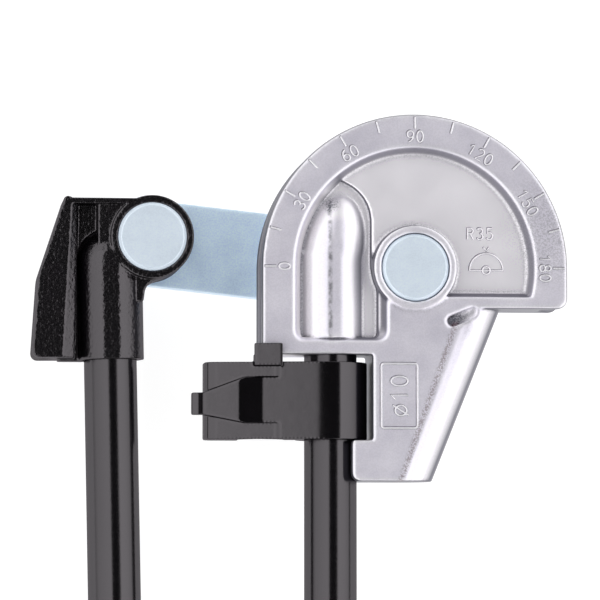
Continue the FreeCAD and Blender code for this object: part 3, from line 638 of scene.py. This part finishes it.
def make_grip(side, body, tube_low, axis, material):
    """Moulded grip: guard flanges and a waist with rings of ribs."""
    node = side + "_handle_grip"
    start = tube_low - 5.5 * MM * axis
    length = 118 * MM
    outline = [
        (0, 0), (10.5, 0), (13.1, 0), (15.9, 1.0), (17.0, 3.6), (17.0, 6.0), (15.9, 8.6), (12.5, 14.0),
        (11.7, 40.0), (13.0, 62.0), (12.1, 86.0), (12.4, 103.0), (15.0, 107.0), (15.0, 109.5),
        (11.5, 112.0), (8.0, 117.0), (7.0, 118.0),
    ]
    heights = np.array([h for _, h in outline[2:]]) * MM
    radii = np.array([r for r, _ in outline[2:]]) * MM
    step = 0.25 * MM
    count = int(length / step)
    s = np.linspace(0, length, count)
    smooth = np.interp(s, heights, radii)
    window = np.hanning(9)
    padded = np.pad(smooth, 4, mode="edge")
    smooth = np.convolve(padded, window / window.sum(), "valid")
    rib_pitch, rib_depth = 4.0 * MM, 0.7 * MM
    ribbed = np.clip((s - 20 * MM) / MM, 0, 1) * np.clip((100 * MM - s) / MM, 0, 1)
    wave = 0.5 + 0.5 * np.cos(2 * np.pi * s / rib_pitch)
    groove = np.clip((wave - 0.35) / 0.4, 0, 1)
    groove = groove * groove * (3 - 2 * groove)
    radius = smooth - rib_depth * ribbed * groove
    bore = HANDLE_R + 0.05 * MM
    profile = [(0, 0), (5 * MM, 0), (10 * MM, 0), (12.4 * MM, 0)]
    profile += [(float(r), float(h)) for r, h in zip(radius, s)]
    profile += [(bore, length), (bore, 4 * MM), (0, 4 * MM)]
    turned(node + "_ribbed", profile, start, axis, 96, material, body, "grip_rubber", node)


# ---------------------------------------------------------------- raised marks
def arc(cx, cy, rx, ry, start, end, steps=14):
    turn = [math.radians(start + (end - start) * i / steps) for i in range(steps + 1)]
    return [(cx + rx * math.cos(a), cy + ry * math.sin(a)) for a in turn]


# Strokes of each character in a cell 0.6 wide and 1 high. A stroke that ends where it began is closed.
GLYPHS = {
    "0": [arc(0.3, 0.5, 0.28, 0.5, 0, 360, 20)],
    "1": [[(0.08, 0.74), (0.34, 1.0), (0.34, 0.0)]],
    "2": [arc(0.3, 0.72, 0.27, 0.28, 165, -35, 10) + [(0.03, 0.0), (0.58, 0.0)]],
    "3": [arc(0.28, 0.75, 0.25, 0.25, 150, -80, 10) + arc(0.28, 0.26, 0.28, 0.26, 80, -150, 10)],
    "5": [[(0.54, 1.0), (0.12, 1.0), (0.08, 0.56)] + arc(0.28, 0.32, 0.29, 0.32, 110, -150, 10)],
    "6": [arc(0.3, 0.3, 0.28, 0.3, 0, 360, 16), [(0.02, 0.34), (0.08, 0.66), (0.22, 0.88), (0.46, 1.0)]],
    "8": [arc(0.3, 0.74, 0.23, 0.26, 0, 360, 14), arc(0.3, 0.24, 0.28, 0.24, 0, 360, 14)],
    "9": [arc(0.3, 0.7, 0.28, 0.3, 0, 360, 16), [(0.58, 0.66), (0.52, 0.34), (0.38, 0.12), (0.14, 0.0)]],
    "R": [[(0.04, 0.0), (0.04, 1.0)] + arc(0.3, 0.76, 0.26, 0.24, 90, -90, 8) + [(0.04, 0.52)],
          [(0.3, 0.52), (0.58, 0.0)]],
    "D": [arc(0.3, 0.42, 0.3, 0.34, 0, 360, 18), [(0.02, -0.04), (0.6, 0.9)]],
}
ADVANCE = 0.86


def text_strokes(text, height, x, y, turn):
    """Strokes of a line of text centred on (x, y), its reading direction turned from +X by turn degrees."""
    half_width = (ADVANCE * (len(text) - 1) + 0.6) / 2
    c, s = math.cos(math.radians(turn)), math.sin(math.radians(turn))
    strokes = []
    for i, character in enumerate(text):
        for stroke in GLYPHS[character]:
            local = [((ADVANCE * i + u - half_width) * height, (v - 0.5) * height) for u, v in stroke]
            strokes.append([(x + c * u - s * v, y + s * u + c * v) for u, v in local])
    return strokes


def raised_lines(name, strokes, z, half_width, height, material):
    """Rounded ridges along the strokes, standing up from the casting's face at height z."""
    curve = bpy.data.curves.new(name, "CURVE")
    curve.dimensions = "3D"
    curve.bevel_depth = half_width
    curve.bevel_resolution = 2
    curve.use_fill_caps = True
    for stroke in strokes:
        closed = math.dist(stroke[0], stroke[-1]) < 1e-6
        points = stroke[:-1] if closed else stroke
        spline = curve.splines.new("POLY")
        spline.points.add(len(points) - 1)
        for point, (x, y) in zip(spline.points, points):
            point.co = (x, y, 0, 1)
        spline.use_cyclic_u = closed
    helper = bpy.data.objects.new(name + "_work", curve)
    bpy.context.scene.collection.objects.link(helper)
    mesh = evaluated_mesh(helper, name)
    bpy.data.objects.remove(helper)
    co = np.empty(len(mesh.vertices) * 3)
    mesh.vertices.foreach_get("co", co)
    co = co.reshape(-1, 3)
    co[:, 2] = z + co[:, 2] * height / half_width
    mesh.vertices.foreach_set("co", co.ravel())
    return link_object(name, mesh, material, "former", "cast_aluminium")


def embossed(name, strokes, z, half_width, height, material, stain_and_painted_shade):
    """Raised lines with a painted shadow, a dull dark grey line, along their upper left side."""
    shift = 0.13 * MM
    beside = [[(x - shift, y + shift) for x, y in stroke] for stroke in strokes]
    # Painted shadow: a thin dark grey copy of the lines, shifted up and to the left.
    raised_lines(name + "_painted_shadow", beside, z, half_width, 0.04 * MM, stain_and_painted_shade)
    raised_lines(name, strokes, z, half_width, height, material)


def make_angle_scale(material, stain_and_painted_shade):
    """Angle scale round the rim: a tick each 15 degrees and a number each 30."""
    ticks, numbers = [], []
    for angle in range(0, 181, 15):
        turn = math.radians(180 - angle)
        c, s = math.cos(turn), math.sin(turn)
        ticks.append([(r * c, r * s) for r in (31.9 * MM, 34.6 * MM)])
        if angle % 30 == 0:
            numbers += text_strokes(str(angle), 2.6 * MM, 30.1 * MM * c, 30.1 * MM * s, 90 - angle)
    embossed("scale_ticks", ticks, FACE_Z, 0.26 * MM, 0.2 * MM, material, stain_and_painted_shade)
    embossed("scale_numbers", numbers, FACE_Z, 0.22 * MM, 0.2 * MM, material, stain_and_painted_shade)


def make_size_plate(material, stain_and_painted_shade):
    """Frame on the leg with the tube diameter in it, reading upwards."""
    left, right, foot, top = -7.9 * MM, 0.4 * MM, -36.8 * MM, -22.1 * MM
    r = 0.6 * MM
    frame_line = []
    corners = [
        (right - r, top - r, 90), (right - r, foot + r, 0),
        (left + r, foot + r, -90), (left + r, top - r, -180),
    ]
    for cx, cy, start in corners:
        frame_line += arc(cx, cy, r, r, start, start - 90, 4)
    frame_line.append(frame_line[0])
    text = text_strokes("D10", 3.9 * MM, (left + right) / 2, (foot + top) / 2, 90)
    embossed("size_plate_frame", [frame_line], FACE_Z, 0.28 * MM, 0.2 * MM, material, stain_and_painted_shade)
    embossed("size_plate_text", text, FACE_Z, 0.24 * MM, 0.22 * MM, material, stain_and_painted_shade)


def make_radius_mark(material, stain_and_painted_shade):
    """Bend radius and a little half-round sign on the pocket floor."""
    cx, cy, r = 16.75 * MM, -0.4 * MM, 3.9 * MM
    strokes = text_strokes("R35", 2.6 * MM, 15.3 * MM, 8.0 * MM, 0)
    strokes += [arc(cx, cy, r, r, 0, 180, 18) + [(cx + r, cy)]]
    strokes += [arc(cx, cy, 0.9 * MM, 0.9 * MM, 0, 360, 12)]
    tip_y = cy + r + 0.6 * MM
    strokes += [[(cx - 0.7 * MM, tip_y + 0.8 * MM), (cx, tip_y), (cx + 0.7 * MM, tip_y + 0.8 * MM)]]
    embossed("radius_mark", strokes, POCKET_Z, 0.22 * MM, 0.2 * MM, material, stain_and_painted_shade)


# ---------------------------------------------------------------- the object
make_camera()
make_studio()
make_floor()

aluminium = cast_aluminium()
# Material of the painted shadow beside the raised marks.
grime_and_painted_shade = casting_dirt()
# The zinc and the pin caps glow faintly: painted light.
zinc = zinc_steel()
cap_zinc = zinc_steel("zinc_cap", (0.83, 0.92, 1.0), 0.0008 * MM, 0.38, 0.03, 0.4, 0.06)
washer_steel = spring_steel()
thrust_steel = spring_steel("thrust_steel", (0.62, 0.60, 0.56))
lever_paint = black_paint("black_casting", 0.75 * MM, 0.12 * MM, 0.20)
clip_paint = black_paint("black_gloss", 3 * MM, 0.01 * MM, 0.12)
tube_paint = black_paint("black_tube", 0.5 * MM, 0.006 * MM, 0.16)
rubber = grip_rubber()
plug_plastic = black_paint("plug_plastic", 0.4 * MM, 0.01 * MM, 0.35)

refined("former_casting", "former", "cast_aluminium", aluminium, 8, 0.76, 4)
refined("lever_casting", "lever", "black_casting", lever_paint, 8, 0.56, 4)
refined("tube_clip", "clip", "black_gloss", clip_paint, 9, 0.55, 14)
refined("link_plate", "link", "zinc_steel", zinc, 8, 0.6, 2)
make_pins(cap_zinc)
make_handles(tube_paint, rubber)
make_angle_scale(aluminium, grime_and_painted_shade)
make_size_plate(aluminium, grime_and_painted_shade)
make_radius_mark(aluminium, grime_and_painted_shade)

for name, node in nodes.items():
    if node.hide_render:
        continue
    if "plug" in name:
        finish = plug_plastic
    elif "spring" in name or "roll_pin" in name:
        finish = washer_steel
    elif "thrust" in name:
        finish = thrust_steel
    else:
        finish = zinc
    node.data.materials.clear()
    node.data.materials.append(finish)
